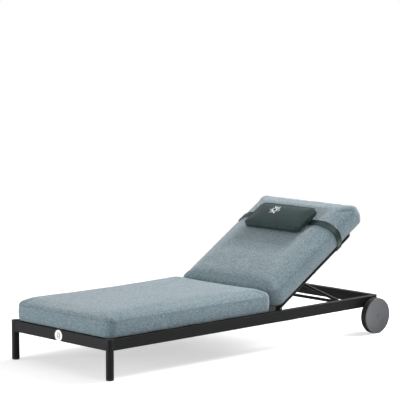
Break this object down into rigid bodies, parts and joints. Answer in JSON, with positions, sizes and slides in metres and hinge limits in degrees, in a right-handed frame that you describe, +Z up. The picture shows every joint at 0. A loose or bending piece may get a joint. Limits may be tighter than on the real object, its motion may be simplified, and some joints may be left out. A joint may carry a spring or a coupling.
{
  "type": "sun lounger",
  "caption": "Reclining sun lounger: low rectangular tube frame on two legs and two wheels, thick fabric seat and back cushions, propped backrest and a strapped leather headrest.",
  "frame": {"origin": "on the ground, under the middle of the whole object", "axes": "+X across the width, +Y from the foot end to the head end, +Z up"},
  "size_m": [0.878, 2.0364, 0.726],
  "materials": {
    "frame": "satin",
    "black_plastic": "matte",
    "steel": "satin",
    "hub_plastic": "matte",
    "disc_metal": "satin",
    "rubber": "matte",
    "slat_wood": "satin",
    "rack_plastic": "matte",
    "badge_metal": "satin",
    "cushion_fabric": "matte",
    "green_leather": "semi-gloss"
  },
  "bodies": {
    "chassis": {"axle_arm_left": "frame", "axle_arm_right": "frame", "axle_left": "steel", "axle_retainers": "steel", "axle_right": "steel", "foot_badge": "badge_metal", "foot_glides": "black_plastic", "foot_leg_left": "frame", "foot_leg_right": "frame", "head_corner_left": "frame", "head_corner_right": "frame", "hinge_bracket_left": "frame", "hinge_bracket_right": "frame", "hinge_pins": "steel", "leg_caps": "black_plastic", "notch_rack_left": "rack_plastic", "notch_rack_right": "rack_plastic", "rack_screws": "steel", "rail_foot": "frame", "rail_head": "frame", "rail_left": "frame", "rail_right": "frame", "seat_cushion": "cushion_fabric", "seat_slat_1": "slat_wood", "seat_slat_2": "slat_wood", "seat_slat_3": "slat_wood", "seat_slat_4": "slat_wood", "seat_slat_5": "slat_wood", "slat_ledge_left": "frame", "slat_ledge_right": "frame", "slat_screws": "steel", "stub_leg_left": "frame", "stub_leg_right": "frame"},
    "backrest": {"back_side_tube_left": "frame", "back_side_tube_right": "frame", "back_top_tube": "frame", "back_bottom_tube": "frame", "back_crossbar": "frame", "stop_collars": "black_plastic", "back_cushion": "cushion_fabric"},
    "prop": {"prop_sleeve": "frame", "prop_leg_left": "frame", "prop_leg_right": "frame", "prop_foot_rod": "frame", "prop_glides": "black_plastic"},
    "headrest": {"head_pillow": "green_leather", "strap_front": "green_leather", "strap_sides": "green_leather", "strap_back": "green_leather", "strap_buckle": "black_plastic"},
    "wheel_l": {"wheel_hub_left": "hub_plastic", "wheel_disc_left": "disc_metal", "tyre_left": "rubber"},
    "wheel_r": {"wheel_hub_right": "hub_plastic", "wheel_disc_right": "disc_metal", "tyre_right": "rubber"}
  },
  "joints": [
    {"name": "backrest_recline", "type": "hinge", "parent": "chassis", "child": "backrest", "pos_m": [0, 0.22718, 0.21036], "axis": [1, 0, 0], "range_deg": [-32, 18]},
    {"name": "prop_pivot", "type": "hinge", "parent": "backrest", "child": "prop", "pos_m": [0, 0.50459, 0.37781], "axis": [1, 0, 0], "range_deg": [-38.5, 68]},
    {"name": "headrest_slide", "type": "slide", "parent": "backrest", "child": "headrest", "axis": [0, 0.848, 0.5299], "range_m": [-0.15, 0.07]},
    {"name": "wheel_left_spin", "type": "hinge", "parent": "chassis", "child": "wheel_l", "pos_m": [-0.419, 0.918, 0.1], "axis": [1, 0, 0], "continuous": true},
    {"name": "wheel_right_spin", "type": "hinge", "parent": "chassis", "child": "wheel_r", "pos_m": [0.419, 0.918, 0.1], "axis": [1, 0, 0], "continuous": true}
  ],
  "couplings": [
    {"joint": "prop_pivot", "follows": "backrest_recline", "ratio": -2.1159}
  ]
}
